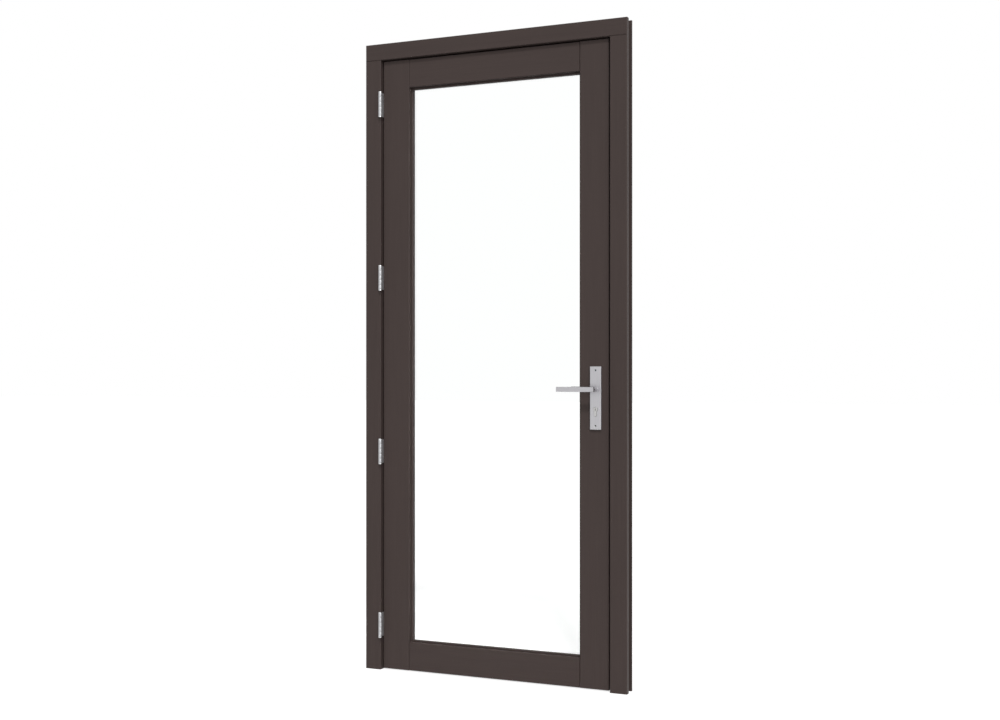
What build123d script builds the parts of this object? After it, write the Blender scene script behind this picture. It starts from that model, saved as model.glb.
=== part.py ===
from build123d import *
import os
from math import radians, sin

# A timber door with one large pane, hung in its own frame. Millimetres, +Z up.
# The origin is on the floor, in the middle of the frame's width and of the leaf's thickness.
# +X runs from the hinge side to the lock side, and the leaf opens towards -Y.

# Frame
FRAME_W = 1048
FRAME_H = 2388
FRAME_DEPTH = 115
JAMB_FACE = 64
HEAD_FACE = 62
ARRIS = 2
GROOVE_START = 20
GROOVE_END = 53
GROOVE_DEEP = 11
FLANGE_END = 61
REAR_INSET = 18
STOP_W = 16

# Gaps round the leaf
LEAF_RECESS = 15
GAP_HINGE = 4.5
GAP_LOCK = 8
GAP_TOP = 4.5
GAP_FLOOR = 4
SEAL_GAP = 3

# Leaf
LEAF_T = 54
STILE_W = 110
RAIL_H = 106
INNER_ARRIS = 2
OUTER_ARRIS = 2
QUIRK_W = 2
QUIRK_DEEP = 3
REVEAL = 16
BEAD_W = 7
BEAD_BEVEL = 2
NIB_W = 5
NIB_SQUARE = 2
REAR_BEVEL = 3
TAPE_T = 2
TAPE_BACK = 0.5
GLASS_T = 8
GLASS_DEPTH = 30
GLASS_EDGE = 3
DOWEL_R = 6
DOWEL_L = 100
DOWEL_SPREAD = 56
BLOCK_L = 100

# Rubber seal in the frame's stop
KERF_W = 3
KERF_DEEP = 7
KERF_IN = 10
BULB_W = 9
BULB_CLEAR = 0.3
BULB_SHOULDER_W = 7.2
BULB_CROWN_W = 3.2
BULB_SHOULDER = 1
STEM_CLEAR = 0.2
STEM_SHORT = 0.5

# Hinges
HINGE_COUNT = 4
HINGE_FIRST = 172
HINGE_LAST_DROP = 232
KNUCKLE_PROUD = 1
HINGE_H = 90
PLATE_W = 50
PLATE_T = 2
PLATE_CORNER = 5
KNUCKLES = 5
KNUCKLE_R = 6.5
KNUCKLE_GAP = 0.3
PIN_R = 3.4
PIN_FIT = 0.06
CAP_H = 4
CAP_BEVEL = 1
HINGE_SCREW_L = 30
HINGE_SCREW_SPREAD = 30
HINGE_SCREW_EDGE = 8
HINGE_SCREW_STAGGER = 10

# Lock and handle
BACKSET = 48
LEVER_Z = 1074.5
CYLINDER_DROP = 72
LATCH_RISE = 17.5
LATCH_H = 18
LATCH_OUT = 13
LATCH_BEVEL = 9
LATCH_NOSE = 2.6
BOLT_T = 11.4
DEADBOLT_RISE = 28
DEADBOLT_H = 22
DEADBOLT_OUT = 20
DEADBOLT_BEVEL = 1
DEADBOLT_PAST_AXIS = 4
BOLT_FIT = 0.3
CASE_T = 15
CASE_WALL = 1.5
CASE_DEEP = 78
CASE_MARGIN = 12
CASE_CLEAR = 0.5
FACEPLATE_W = 20
FACEPLATE_H = 235
FACEPLATE_T = 3
STRIKE_W = 24
STRIKE_H = 200
STRIKE_T = 3
STRIKE_MARGIN = 2
STRIKE_SCREW_EDGE = 12
SPINDLE = 8
SPINDLE_FIT = 0.1
HUB_R = 10
HUB_BOSS_R = 7
ARM_SWING = 40
ARM_W = 4
ARM_T = 5
ARM_TIP_R = 3
LUG_W = 4
LUG_H = 5
TAIL_H = 7
TAIL_T = 2.7
RUN_FIT = 0.1
LEVER_L = 141
LEVER_H = 18
LEVER_T = 12
LEVER_ROUND = 3.5
LEVER_OFFSET = 51
NECK_R = 9
COLLAR_R = 11
COLLAR_T = 2
COLLAR_BEVEL = 1
SET_SCREW_R = 2.5
SET_SCREW_SUNK = 1
BACKPLATE_W = 42
BACKPLATE_H = 226
BACKPLATE_T = 9
BACKPLATE_SKIN = 3
BACKPLATE_BEVEL = 1.5
BACKPLATE_DROP = 31
BACKPLATE_SCREW_EDGE = 14
BOSS_R = 6
SLEEVE_R = 3.8
BORE_CLEAR = 0.4

# Key cylinder with the European profile
PROFILE_R = 8.5
PROFILE_WEB = 5
PROFILE_LOW = 24.5
CYLINDER_PROUD = 1
PLUG_R = 6.5
KEYWAY_W = 2
KEYWAY_H = 8
CAM_T = 9.6
CAM_HUB_R = 8.3
CAM_REACH = 15.3
CAM_LOBE_W = 7
CAM_ROOM = 0.5
FIX_SCREW_DROP = 20

# Screws
WOOD_SCREW_R = 2
WOOD_HEAD_R = 4
MACHINE_SCREW_R = 2.5
MACHINE_HEAD_R = 4.5
PILOT_CLEAR = 0.05
CORNER_SCREW_R = 3
CORNER_HEAD_R = 6
CORNER_SCREW_L = 120

# Holes that fasten the frame to the wall
FIXING_R = 4
FIXING_SINK_R = 8
FIXING_SINK = 12
FIXING_FIRST = 400
FIXING_PITCH = 500
FIXING_COUNT = 4

# Lines worked out from the sizes above
FACE_Y = -LEAF_T / 2 - LEAF_RECESS
BACK_Y = FACE_Y + FRAME_DEPTH
LEAF_FRONT = -LEAF_T / 2
LEAF_BACK = LEAF_T / 2
STOP_Y = LEAF_BACK + SEAL_GAP
JAMB_X = FRAME_W / 2 - JAMB_FACE
HEAD_Z = FRAME_H - HEAD_FACE
LEAF_LEFT = -JAMB_X + GAP_HINGE
LEAF_RIGHT = JAMB_X - GAP_LOCK
LEAF_LOW = GAP_FLOOR
LEAF_TOP = HEAD_Z - GAP_TOP
OPEN_LEFT = LEAF_LEFT + STILE_W
OPEN_RIGHT = LEAF_RIGHT - STILE_W
OPEN_LOW = LEAF_LOW + RAIL_H
OPEN_TOP = LEAF_TOP - RAIL_H
OPEN_X = (OPEN_LEFT + OPEN_RIGHT) / 2
OPEN_Z = (OPEN_LOW + OPEN_TOP) / 2
SIGHT_HALF_W = (OPEN_RIGHT - OPEN_LEFT) / 2 - BEAD_W
SIGHT_HALF_H = (OPEN_TOP - OPEN_LOW) / 2 - BEAD_W
GLASS_Y = LEAF_FRONT + GLASS_DEPTH
NIB_Y = GLASS_Y + GLASS_T + TAPE_T
PIN_X = -JAMB_X + GAP_HINGE / 2
PIN_Y = FACE_Y - KNUCKLE_R - KNUCKLE_PROUD
HINGE_PITCH = (FRAME_H - HINGE_LAST_DROP - HINGE_FIRST) / (HINGE_COUNT - 1)
HINGE_LEVELS = [HINGE_FIRST + HINGE_PITCH * i for i in range(HINGE_COUNT)]
HANDLE_X = LEAF_RIGHT - BACKSET
CYLINDER_Z = LEVER_Z - CYLINDER_DROP
LATCH_Z = LEVER_Z + LATCH_RISE
DEADBOLT_Z = CYLINDER_Z + DEADBOLT_RISE
FIX_SCREW_Z = CYLINDER_Z - FIX_SCREW_DROP
BACKPLATE_Z = LEVER_Z - BACKPLATE_DROP
LOCK_Z = (LATCH_Z + FIX_SCREW_Z) / 2
CASE_FRONT = LEAF_RIGHT - FACEPLATE_T
CASE_BACK = CASE_FRONT - CASE_DEEP
CASE_LOW = CYLINDER_Z - PROFILE_LOW - CASE_MARGIN
CASE_TOP = LATCH_Z + LATCH_H / 2 + CASE_MARGIN
FIXING_LEVELS = [FIXING_FIRST + FIXING_PITCH * i for i in range(FIXING_COUNT)]
SCREW_REACH = BACKPLATE_H / 2 - BACKPLATE_SCREW_EDGE
SCREW_LEVELS = [BACKPLATE_Z - SCREW_REACH, BACKPLATE_Z + SCREW_REACH]
FAR = 4000


def box(x0, x1, y0, y1, z0, z1):
    """Block between two corners."""
    centre = Pos((x0 + x1) / 2, (y0 + y1) / 2, (z0 + z1) / 2)
    return centre * Box(abs(x1 - x0), abs(y1 - y0), abs(z1 - z0))


def rod_x(x0, x1, y, z, radius):
    return Pos((x0 + x1) / 2, y, z) * Rot(0, 90, 0) * Cylinder(radius, abs(x1 - x0))


def rod_y(y0, y1, x, z, radius):
    return Pos(x, (y0 + y1) / 2, z) * Rot(90, 0, 0) * Cylinder(radius, abs(y1 - y0))


def rod_z(z0, z1, x, y, radius):
    return Pos(x, y, (z0 + z1) / 2) * Cylinder(radius, abs(z1 - z0))


def prism_x(points, x0, x1):
    """Bar along X whose section is given as (y, z) points."""
    return extrude(Plane.YZ.offset(x0) * make_face(Polyline(*points, close=True)), x1 - x0)


def prism_y(points, y0, y1):
    """Bar along Y whose section is given as (x, z) points."""
    return extrude(Plane.XZ.offset(-y0) * make_face(Polyline(*points, close=True)), y0 - y1)


def prism_z(points, z0, z1):
    """Bar along Z whose section is given as (x, y) points."""
    return extrude(Plane.XY.offset(z0) * make_face(Polyline(*points, close=True)), z1 - z0)


# Screws: the head's top lies in the local plane z = 0 and the shank runs towards +Z

def screw(radius, head_radius, length):
    """Countersunk screw; the head is a cone of 90 degrees."""
    head_h = head_radius - radius
    head = Pos(0, 0, head_h / 2) * Cone(head_radius, radius, head_h)
    return head + Pos(0, 0, length / 2) * Cylinder(radius, length)


def screw_seat(radius, head_radius, length):
    """Countersunk hole for a screw."""
    return screw(radius + PILOT_CLEAR, head_radius + PILOT_CLEAR, length + PILOT_CLEAR)


def pilot_hole(radius, head_radius, length):
    """Hole for the shank alone, behind a plate that holds the whole head."""
    return Pos(0, 0, (length + PILOT_CLEAR) / 2) * Cylinder(radius + PILOT_CLEAR, length + PILOT_CLEAR)


# Mitred bars round a rectangle, whose section is given as (outwards, y) points

def mitre_wedge(side, half_w, half_h, centre_x, centre_z, low=None):
    """Prism that keeps one side of a mitred rectangle; low gives a side a square foot."""
    reach = min(half_w, half_h) / 2
    inner_x, inner_z = half_w - reach, half_h - reach
    outer_x, outer_z = half_w + reach, half_h + reach
    if side in ("top", "bottom"):
        sign = 1 if side == "top" else -1
        points = [(-inner_x, sign * inner_z), (inner_x, sign * inner_z),
                  (outer_x, sign * outer_z), (-outer_x, sign * outer_z)]
    else:
        sign = 1 if side == "right" else -1
        foot_in = -inner_z if low is None else low - centre_z
        foot_out = -outer_z if low is None else low - centre_z
        points = [(sign * inner_x, foot_in), (sign * inner_x, inner_z),
                  (sign * outer_x, outer_z), (sign * outer_x, foot_out)]
    moved = [(centre_x + x, centre_z + z) for x, z in points]
    return prism_y(moved, -FAR, FAR)


def mitred_bar(side, section, half_w, half_h, centre_x, centre_z, low=None):
    if side in ("top", "bottom"):
        sign = 1 if side == "top" else -1
        points = [(y, centre_z + sign * (half_h + out)) for out, y in section]
        bar = prism_x(points, centre_x - half_w * 2, centre_x + half_w * 2)
    else:
        sign = 1 if side == "right" else -1
        points = [(centre_x + sign * (half_w + out), y) for out, y in section]
        bar = prism_z(points, centre_z - half_h * 2, centre_z + half_h * 2)
    return bar & mitre_wedge(side, half_w, half_h, centre_x, centre_z, low)


def ring_of(section, half_w, half_h, centre_x, centre_z):
    """Closed rectangular ring made by a straight-sided section."""
    outs = [out for out, _ in section]
    ys = [y for _, y in section]
    outer = box(centre_x - half_w - max(outs), centre_x + half_w + max(outs), min(ys), max(ys),
                centre_z - half_h - max(outs), centre_z + half_h + max(outs))
    inner = box(centre_x - half_w - min(outs), centre_x + half_w + min(outs), min(ys), max(ys),
                centre_z - half_h - min(outs), centre_z + half_h + min(outs))
    return outer - inner


# Frame members: s runs from the outside of the frame inwards, d from its face to its back

def outer_profile():
    """Outside of the frame: a groove for the wall's lining, a flange and the rear inset."""
    return [(REAR_INSET, FRAME_DEPTH), (REAR_INSET, FLANGE_END), (0, FLANGE_END), (0, GROOVE_END),
            (GROOVE_DEEP, GROOVE_END), (GROOVE_DEEP, GROOVE_START), (0, GROOVE_START),
            (0, ARRIS), (ARRIS, 0)]


def frame_section(face):
    """Section of a member whose face has the given width."""
    stop_d = STOP_Y - FACE_Y
    return outer_profile() + [(face - ARRIS, 0), (face, ARRIS), (face, stop_d), (face + STOP_W, stop_d),
                              (face + STOP_W, FRAME_DEPTH - ARRIS), (face + STOP_W - ARRIS, FRAME_DEPTH)]


def seal_channel():
    """Kerf in the face of the stop, up both jambs and along the head."""
    x_out = JAMB_X - KERF_IN + KERF_W / 2
    x_in = x_out - KERF_W
    z_out = HEAD_Z - KERF_IN + KERF_W / 2
    y_end = STOP_Y + KERF_DEEP
    channel = box(-x_out, x_out, STOP_Y, y_end, z_out - KERF_W, z_out)
    for sign in (-1, 1):
        channel = channel + box(sign * x_in, sign * x_out, STOP_Y, y_end, 0, z_out)
    return channel


def corner_screw_places():
    """Two screws a corner: one in the groove, one in the rear rebate."""
    front = (FRAME_W / 2 - (GROOVE_DEEP + JAMB_FACE) / 2,
             FACE_Y + (GROOVE_START + GROOVE_END) / 2, FRAME_H - GROOVE_DEEP)
    rear = (FRAME_W / 2 - (REAR_INSET + JAMB_FACE) / 2 - STOP_W / 2,
            (FACE_Y + FLANGE_END + BACK_Y) / 2, FRAME_H - REAR_INSET)
    return [(sign * x, y, z) for sign in (-1, 1) for x, y, z in (front, rear)]


def corner_screws(make):
    return [Pos(x, y, z) * Rot(180, 0, 0) * make(CORNER_SCREW_R, CORNER_HEAD_R, CORNER_SCREW_L)
            for x, y, z in corner_screw_places()]


def frame_head():
    """Head over the whole width, with the jambs' outer profile cut across its ends."""
    points = [(FACE_Y + d, FRAME_H - s) for s, d in frame_section(HEAD_FACE)]
    head = prism_x(points, -FRAME_W / 2, FRAME_W / 2)
    right = [(FRAME_W / 2 - s, FACE_Y + d) for s, d in outer_profile()]
    left = [(-x, y) for x, y in reversed(right)]
    head = head & prism_z(right + left, 0, FRAME_H)
    inner = JAMB_X - STOP_W
    for sign in (-1, 1):
        head = head - box(sign * inner, sign * FRAME_W, FACE_Y, BACK_Y, 0, HEAD_Z)
    head = head - seal_channel()
    for seat in corner_screws(screw_seat):
        head = head - seat
    return head


def frame_jamb(sign):
    points = [(sign * (FRAME_W / 2 - s), FACE_Y + d) for s, d in frame_section(JAMB_FACE)]
    jamb = prism_z(points, 0, HEAD_Z)
    v_cut = [(FACE_Y, HEAD_Z - ARRIS), (FACE_Y, HEAD_Z), (FACE_Y + ARRIS, HEAD_Z)]
    jamb = jamb - prism_x(v_cut, -FRAME_W, FRAME_W) - seal_channel()
    for level in FIXING_LEVELS:
        jamb = jamb - rod_x(sign * FRAME_W, sign * (JAMB_X - STOP_W), 0, level, FIXING_R)
        jamb = jamb - rod_x(sign * (JAMB_X + FIXING_SINK), sign * JAMB_X, 0, level, FIXING_SINK_R)
    for seat in corner_screws(screw_seat):
        jamb = jamb - seat
    return jamb


def frame_seal(side):
    """Rubber seal: a stem in the kerf and a D-shaped bulb on the stop."""
    crown = STOP_Y - SEAL_GAP + BULB_CLEAR
    shoulder = crown + BULB_SHOULDER
    stem = KERF_W / 2 - STEM_CLEAR
    foot = STOP_Y + KERF_DEEP - STEM_SHORT
    right = [(BULB_CROWN_W / 2, crown), (BULB_SHOULDER_W / 2, shoulder), (BULB_W / 2, STOP_Y),
             (stem, STOP_Y), (stem, foot)]
    section = right + [(-out, y) for out, y in reversed(right)]
    half_w = JAMB_X - KERF_IN
    top = HEAD_Z - KERF_IN
    return mitred_bar(side, section, half_w, top / 2, 0, top / 2, low=0)


# Leaf: two stiles over its whole height, two rails dowelled between them, and loose beads

def stile_section(edge, inner, sign):
    """Section from the leaf's edge to the pane; sign points from the stile to the pane."""
    return [(edge, LEAF_FRONT + OUTER_ARRIS), (edge + sign * OUTER_ARRIS, LEAF_FRONT),
            (inner - sign * INNER_ARRIS, LEAF_FRONT), (inner, LEAF_FRONT + INNER_ARRIS),
            *nib_profile(inner, sign), (edge + sign * OUTER_ARRIS, LEAF_BACK),
            (edge, LEAF_BACK - OUTER_ARRIS)]


def nib_profile(inner, sign):
    """Rear lip that the pane lies against; it slopes off into the back of the stile or rail."""
    nib = inner + sign * NIB_W
    return [(inner, NIB_Y), (nib, NIB_Y), (nib, NIB_Y + NIB_SQUARE),
            (inner - sign * REAR_BEVEL, LEAF_BACK)]


def dowels(clear=0):
    """Two dowels at each corner of the leaf."""
    pieces = []
    y = (LEAF_FRONT + NIB_Y) / 2
    for level in (LEAF_LOW + RAIL_H / 2, LEAF_TOP - RAIL_H / 2):
        for x in (OPEN_LEFT, OPEN_RIGHT):
            for z in (level - DOWEL_SPREAD / 2, level + DOWEL_SPREAD / 2):
                reach = DOWEL_L / 2 + clear
                pieces.append(rod_x(x - reach, x + reach, y, z, DOWEL_R + clear))
    return pieces


def leaf_stile_hinge():
    stile = prism_z(stile_section(LEAF_LEFT, OPEN_LEFT, 1), LEAF_LOW, LEAF_TOP)
    for hole in dowels(PILOT_CLEAR):
        stile = stile - hole
    for level in HINGE_LEVELS:
        for hole in hinge_screws(1, level, pilot_hole):
            stile = stile - hole
    return stile


def leaf_stile_lock():
    """Lock stile with the mortise for the case, the bores and the faceplate's recess."""
    stile = prism_z(stile_section(LEAF_RIGHT, OPEN_RIGHT, -1), LEAF_LOW, LEAF_TOP)
    for hole in dowels(PILOT_CLEAR):
        stile = stile - hole
    pocket = CASE_T / 2 + CASE_CLEAR
    stile = stile - box(CASE_BACK - CASE_CLEAR, LEAF_RIGHT, -pocket, pocket,
                        CASE_LOW - CASE_CLEAR, CASE_TOP + CASE_CLEAR)
    stile = stile - faceplate_blank(PILOT_CLEAR)
    stile = stile - rod_y(LEAF_FRONT, LEAF_BACK, HANDLE_X, LEVER_Z, COLLAR_R)
    stile = stile - cylinder_profile(LEAF_FRONT, LEAF_BACK, CASE_CLEAR * 2)
    for level in SCREW_LEVELS:
        stile = stile - rod_y(LEAF_FRONT, LEAF_BACK, HANDLE_X, level, SLEEVE_R + BORE_CLEAR)
    for hole in faceplate_screws(pilot_hole):
        stile = stile - hole
    return stile


def leaf_rail(z_outer, z_inner):
    """Rail between the stiles: its ends are scribed over their nibs, with a quirk at the face."""
    inward = 1 if z_inner > z_outer else -1
    section = [(y, z) for z, y in stile_section(z_outer, z_inner, inward)]
    rail = prism_x(section, LEAF_LEFT, LEAF_RIGHT)
    quirk_y = LEAF_FRONT + QUIRK_DEEP
    plan = [(OPEN_LEFT + QUIRK_W, LEAF_FRONT), (OPEN_RIGHT - QUIRK_W, LEAF_FRONT),
            (OPEN_RIGHT - QUIRK_W, quirk_y), (OPEN_RIGHT, quirk_y), *nib_profile(OPEN_RIGHT, -1),
            *reversed(nib_profile(OPEN_LEFT, 1)), (OPEN_LEFT, quirk_y), (OPEN_LEFT + QUIRK_W, quirk_y)]
    rail = rail & prism_z(plan, LEAF_LOW, LEAF_TOP)
    for hole in dowels(PILOT_CLEAR):
        rail = rail - hole
    return rail


def glazing_bead(side):
    front = LEAF_FRONT + REVEAL
    back = GLASS_Y - TAPE_T
    section = [(BEAD_W, front), (BEAD_BEVEL, front), (0, front + BEAD_BEVEL), (0, back), (BEAD_W, back)]
    return mitred_bar(side, section, SIGHT_HALF_W, SIGHT_HALF_H, OPEN_X, OPEN_Z)


def glass_pane():
    half_w = SIGHT_HALF_W + BEAD_W - GLASS_EDGE
    half_h = SIGHT_HALF_H + BEAD_W - GLASS_EDGE
    return box(OPEN_X - half_w, OPEN_X + half_w, GLASS_Y, GLASS_Y + GLASS_T,
               OPEN_Z - half_h, OPEN_Z + half_h)


def glazing_tape(y0, lip):
    """Tape round the pane, set back a little from the edge of the lip or bead of that width."""
    section = [(BEAD_W - lip + TAPE_BACK, y0), (BEAD_W - GLASS_EDGE, y0 + TAPE_T)]
    return ring_of(section, SIGHT_HALF_W, SIGHT_HALF_H, OPEN_X, OPEN_Z)


def setting_blocks():
    """Two blocks carry the pane; one low on the hinge side and one high on the lock side square it."""
    y0, y1 = GLASS_Y, GLASS_Y + GLASS_T
    quarter = (OPEN_RIGHT - OPEN_LEFT) / 4
    blocks = [box(x - BLOCK_L / 2, x + BLOCK_L / 2, y0, y1, OPEN_LOW, OPEN_LOW + GLASS_EDGE)
              for x in (OPEN_X - quarter, OPEN_X + quarter)]
    blocks.append(box(OPEN_LEFT, OPEN_LEFT + GLASS_EDGE, y0, y1,
                      OPEN_LOW + BLOCK_L, OPEN_LOW + BLOCK_L * 2))
    blocks.append(box(OPEN_RIGHT - GLASS_EDGE, OPEN_RIGHT, y0, y1,
                      OPEN_TOP - BLOCK_L * 2, OPEN_TOP - BLOCK_L))
    return blocks


# Hinges: local x = 0, y = 0 is the pin's axis, and z = 0 the middle of the hinge.
# The frame's plate lies at side -1 and carries the odd knuckles, the leaf's at side 1 the even.

def knuckle_spans(odd):
    step = HINGE_H / KNUCKLES
    spans = []
    for i in range(KNUCKLES):
        if (i % 2 == 0) == odd:
            low = -HINGE_H / 2 + step * i + (KNUCKLE_GAP / 2 if i > 0 else 0)
            high = -HINGE_H / 2 + step * (i + 1) - (KNUCKLE_GAP / 2 if i < KNUCKLES - 1 else 0)
            spans.append((low, high))
    return spans


def hinge_screw_places():
    far = PLATE_W - HINGE_SCREW_EDGE
    near = far - HINGE_SCREW_STAGGER
    return [(near, -HINGE_SCREW_SPREAD), (far, 0), (near, HINGE_SCREW_SPREAD)]


def hinge_screws(side, level, make):
    """Screws of one plate, with their heads flush in its bare face."""
    face_x = PIN_X + side * (GAP_HINGE / 2 - PLATE_T)
    return [Pos(face_x, PIN_Y + y, level + z) * Rot(0, side * 90, 0)
            * make(WOOD_SCREW_R, WOOD_HEAD_R, HINGE_SCREW_L) for y, z in hinge_screw_places()]


def hinge_plate(side, level):
    wood = side * GAP_HINGE / 2
    bare = wood - side * PLATE_T
    start = KNUCKLE_R + 2 * KNUCKLE_GAP
    sheet = box(bare, wood, start, PLATE_W, -HINGE_H / 2, HINGE_H / 2)
    corners = sheet.edges().filter_by(Axis.X).group_by(Axis.Y)[-1]
    plate = fillet(corners, PLATE_CORNER)
    for low, high in knuckle_spans(odd=side < 0):
        plate = plate + box(bare, wood, 0, start, low, high) + rod_z(low, high, 0, 0, KNUCKLE_R)
    plate = plate - rod_z(-HINGE_H, HINGE_H, 0, 0, PIN_R + PIN_FIT)
    plate = Pos(PIN_X, PIN_Y, level) * plate
    for seat in hinge_screws(side, level, screw_seat):
        plate = plate - seat
    return plate


def hinge_pin(level):
    """Loose pin with a bevelled cap at each end."""
    pin = rod_z(-HINGE_H / 2, HINGE_H / 2, 0, 0, PIN_R)
    for sign in (-1, 1):
        cap = rod_z(sign * HINGE_H / 2, sign * (HINGE_H / 2 + CAP_H), 0, 0, KNUCKLE_R)
        rim = cap.edges().filter_by(GeomType.CIRCLE).sort_by(Axis.Z)[-1 if sign > 0 else 0]
        pin = pin + chamfer(rim, CAP_BEVEL)
    return Pos(PIN_X, PIN_Y, level) * pin


# Mortise lock

def cylinder_profile(y0, y1, grow=0):
    """Key-hole shaped bar along Y: a round top over a narrow web."""
    low = CYLINDER_Z - PROFILE_LOW + PROFILE_WEB
    top = rod_y(y0, y1, HANDLE_X, CYLINDER_Z, PROFILE_R + grow)
    foot = rod_y(y0, y1, HANDLE_X, low, PROFILE_WEB + grow)
    web = box(HANDLE_X - PROFILE_WEB - grow, HANDLE_X + PROFILE_WEB + grow, y0, y1, low, CYLINDER_Z)
    return top + web + foot


def bolt_hole(x0, x1, z, height, grow):
    half = BOLT_T / 2 + grow
    return box(x0, x1, -half, half, z - height / 2 - grow, z + height / 2 + grow)


def faceplate_blank(clear=0):
    half = FACEPLATE_W / 2 + clear
    x0, x1 = CASE_FRONT - clear, LEAF_RIGHT
    straight = FACEPLATE_H / 2 - FACEPLATE_W / 2
    blank = box(x0, x1, -half, half, LOCK_Z - straight, LOCK_Z + straight)
    for sign in (-1, 1):
        blank = blank + rod_x(x0, x1, 0, LOCK_Z + sign * straight, half)
    return blank


def faceplate_screws(make):
    reach = FACEPLATE_H / 2 - FACEPLATE_W / 2
    return [Pos(LEAF_RIGHT, 0, LOCK_Z + sign * reach) * Rot(0, -90, 0)
            * make(WOOD_SCREW_R, WOOD_HEAD_R, HINGE_SCREW_L) for sign in (-1, 1)]


def cylinder_screw(make):
    length = BACKSET + PROFILE_WEB - MACHINE_SCREW_R * 2
    return (Pos(LEAF_RIGHT, 0, FIX_SCREW_Z) * Rot(0, -90, 0)
            * make(MACHINE_SCREW_R, MACHINE_HEAD_R, length))


def lock_faceplate():
    plate = faceplate_blank()
    plate = plate - bolt_hole(CASE_FRONT, LEAF_RIGHT, LATCH_Z, LATCH_H, BOLT_FIT)
    plate = plate - bolt_hole(CASE_FRONT, LEAF_RIGHT, DEADBOLT_Z, DEADBOLT_H, BOLT_FIT)
    for seat in faceplate_screws(screw_seat):
        plate = plate - seat
    return plate - cylinder_screw(screw_seat)


def lock_case():
    """Pressed steel case, hollow, with openings for the bolts, the follower and the cylinder."""
    half = CASE_T / 2
    inner = half - CASE_WALL
    case = box(CASE_BACK, CASE_FRONT, -half, half, CASE_LOW, CASE_TOP)
    case = case - box(CASE_BACK + CASE_WALL, CASE_FRONT - CASE_WALL, -inner, inner,
                      CASE_LOW + CASE_WALL, CASE_TOP - CASE_WALL)
    case = case - bolt_hole(CASE_FRONT - CASE_WALL, CASE_FRONT, LATCH_Z, LATCH_H, BOLT_FIT)
    case = case - bolt_hole(CASE_FRONT - CASE_WALL, CASE_FRONT, DEADBOLT_Z, DEADBOLT_H, BOLT_FIT)
    case = case - rod_y(-half, half, HANDLE_X, LEVER_Z, HUB_BOSS_R + RUN_FIT)
    case = case - cylinder_profile(-half, half, BORE_CLEAR)
    for level in SCREW_LEVELS:
        case = case - rod_y(-half, half, HANDLE_X, level, SLEEVE_R + BORE_CLEAR)
    return case - cylinder_screw(screw_seat)


def lock_follower():
    """Square-holed hub with the arm that draws the latch back."""
    inner = CASE_T / 2 - CASE_WALL - BOLT_FIT
    hub = rod_y(-inner, inner, 0, 0, HUB_R) + rod_y(-CASE_T / 2, CASE_T / 2, 0, 0, HUB_BOSS_R)
    arm = box(-ARM_W / 2, ARM_W / 2, -ARM_T / 2, ARM_T / 2, 0, LATCH_RISE)
    arm = arm + rod_y(-ARM_T / 2, ARM_T / 2, 0, LATCH_RISE, ARM_TIP_R)
    hub = hub + Rot(0, ARM_SWING / 2, 0) * arm
    half = SPINDLE / 2 + SPINDLE_FIT
    hub = hub - box(-half, half, -CASE_T, CASE_T, -half, half)
    return Pos(HANDLE_X, 0, LEVER_Z) * hub


def latch_bolt():
    """Bevelled bolt head on a flat tail, with a lug in front of the follower's arm."""
    half = BOLT_T / 2
    tip = LEAF_RIGHT + LATCH_OUT
    root = LEAF_RIGHT - LATCH_H
    plan = [(root, -half), (tip, -half), (tip, LATCH_NOSE - half), (tip - LATCH_BEVEL, half), (root, half)]
    bolt = prism_z(plan, LATCH_Z - LATCH_H / 2, LATCH_Z + LATCH_H / 2)
    lug_right = HANDLE_X + LATCH_RISE * sin(radians(ARM_SWING / 2)) - ARM_TIP_R - BORE_CLEAR
    lug_left = lug_right - LUG_W
    tail = box(lug_left, root, half - TAIL_T, half, LATCH_Z - TAIL_H / 2, LATCH_Z + TAIL_H / 2)
    lug = box(lug_left, lug_right, -ARM_T / 2, half, LATCH_Z - LUG_H / 2, LATCH_Z + LUG_H / 2)
    return bolt + tail + lug


def deadbolt():
    """Square bolt, drawn in until it is flush with the faceplate."""
    half = BOLT_T / 2
    bolt = box(HANDLE_X - DEADBOLT_PAST_AXIS, LEAF_RIGHT - BOLT_FIT, -half, half,
               DEADBOLT_Z - DEADBOLT_H / 2, DEADBOLT_Z + DEADBOLT_H / 2)
    nose = bolt.faces().sort_by(Axis.X)[-1].edges()
    return chamfer(nose, DEADBOLT_BEVEL)


def strike_screws(make):
    reach = STRIKE_H / 2 - STRIKE_SCREW_EDGE
    return [Pos(JAMB_X, 0, LOCK_Z + sign * reach) * Rot(0, 90, 0)
            * make(WOOD_SCREW_R, WOOD_HEAD_R, HINGE_SCREW_L) for sign in (-1, 1)]


def strike_holes(x0, x1, grow):
    latch = bolt_hole(x0, x1, LATCH_Z, LATCH_H, grow)
    return latch + bolt_hole(x0, x1, DEADBOLT_Z, DEADBOLT_H, grow)


def strike_plate():
    """Plate let into the lock jamb, with a hole for each bolt."""
    half = STRIKE_W / 2
    plate = box(JAMB_X, JAMB_X + STRIKE_T, -half, half, LOCK_Z - STRIKE_H / 2, LOCK_Z + STRIKE_H / 2)
    plate = fillet(plate.edges().filter_by(Axis.X), PLATE_CORNER)
    plate = plate - strike_holes(JAMB_X, JAMB_X + STRIKE_T, STRIKE_MARGIN)
    for seat in strike_screws(screw_seat):
        plate = plate - seat
    return plate


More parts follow.
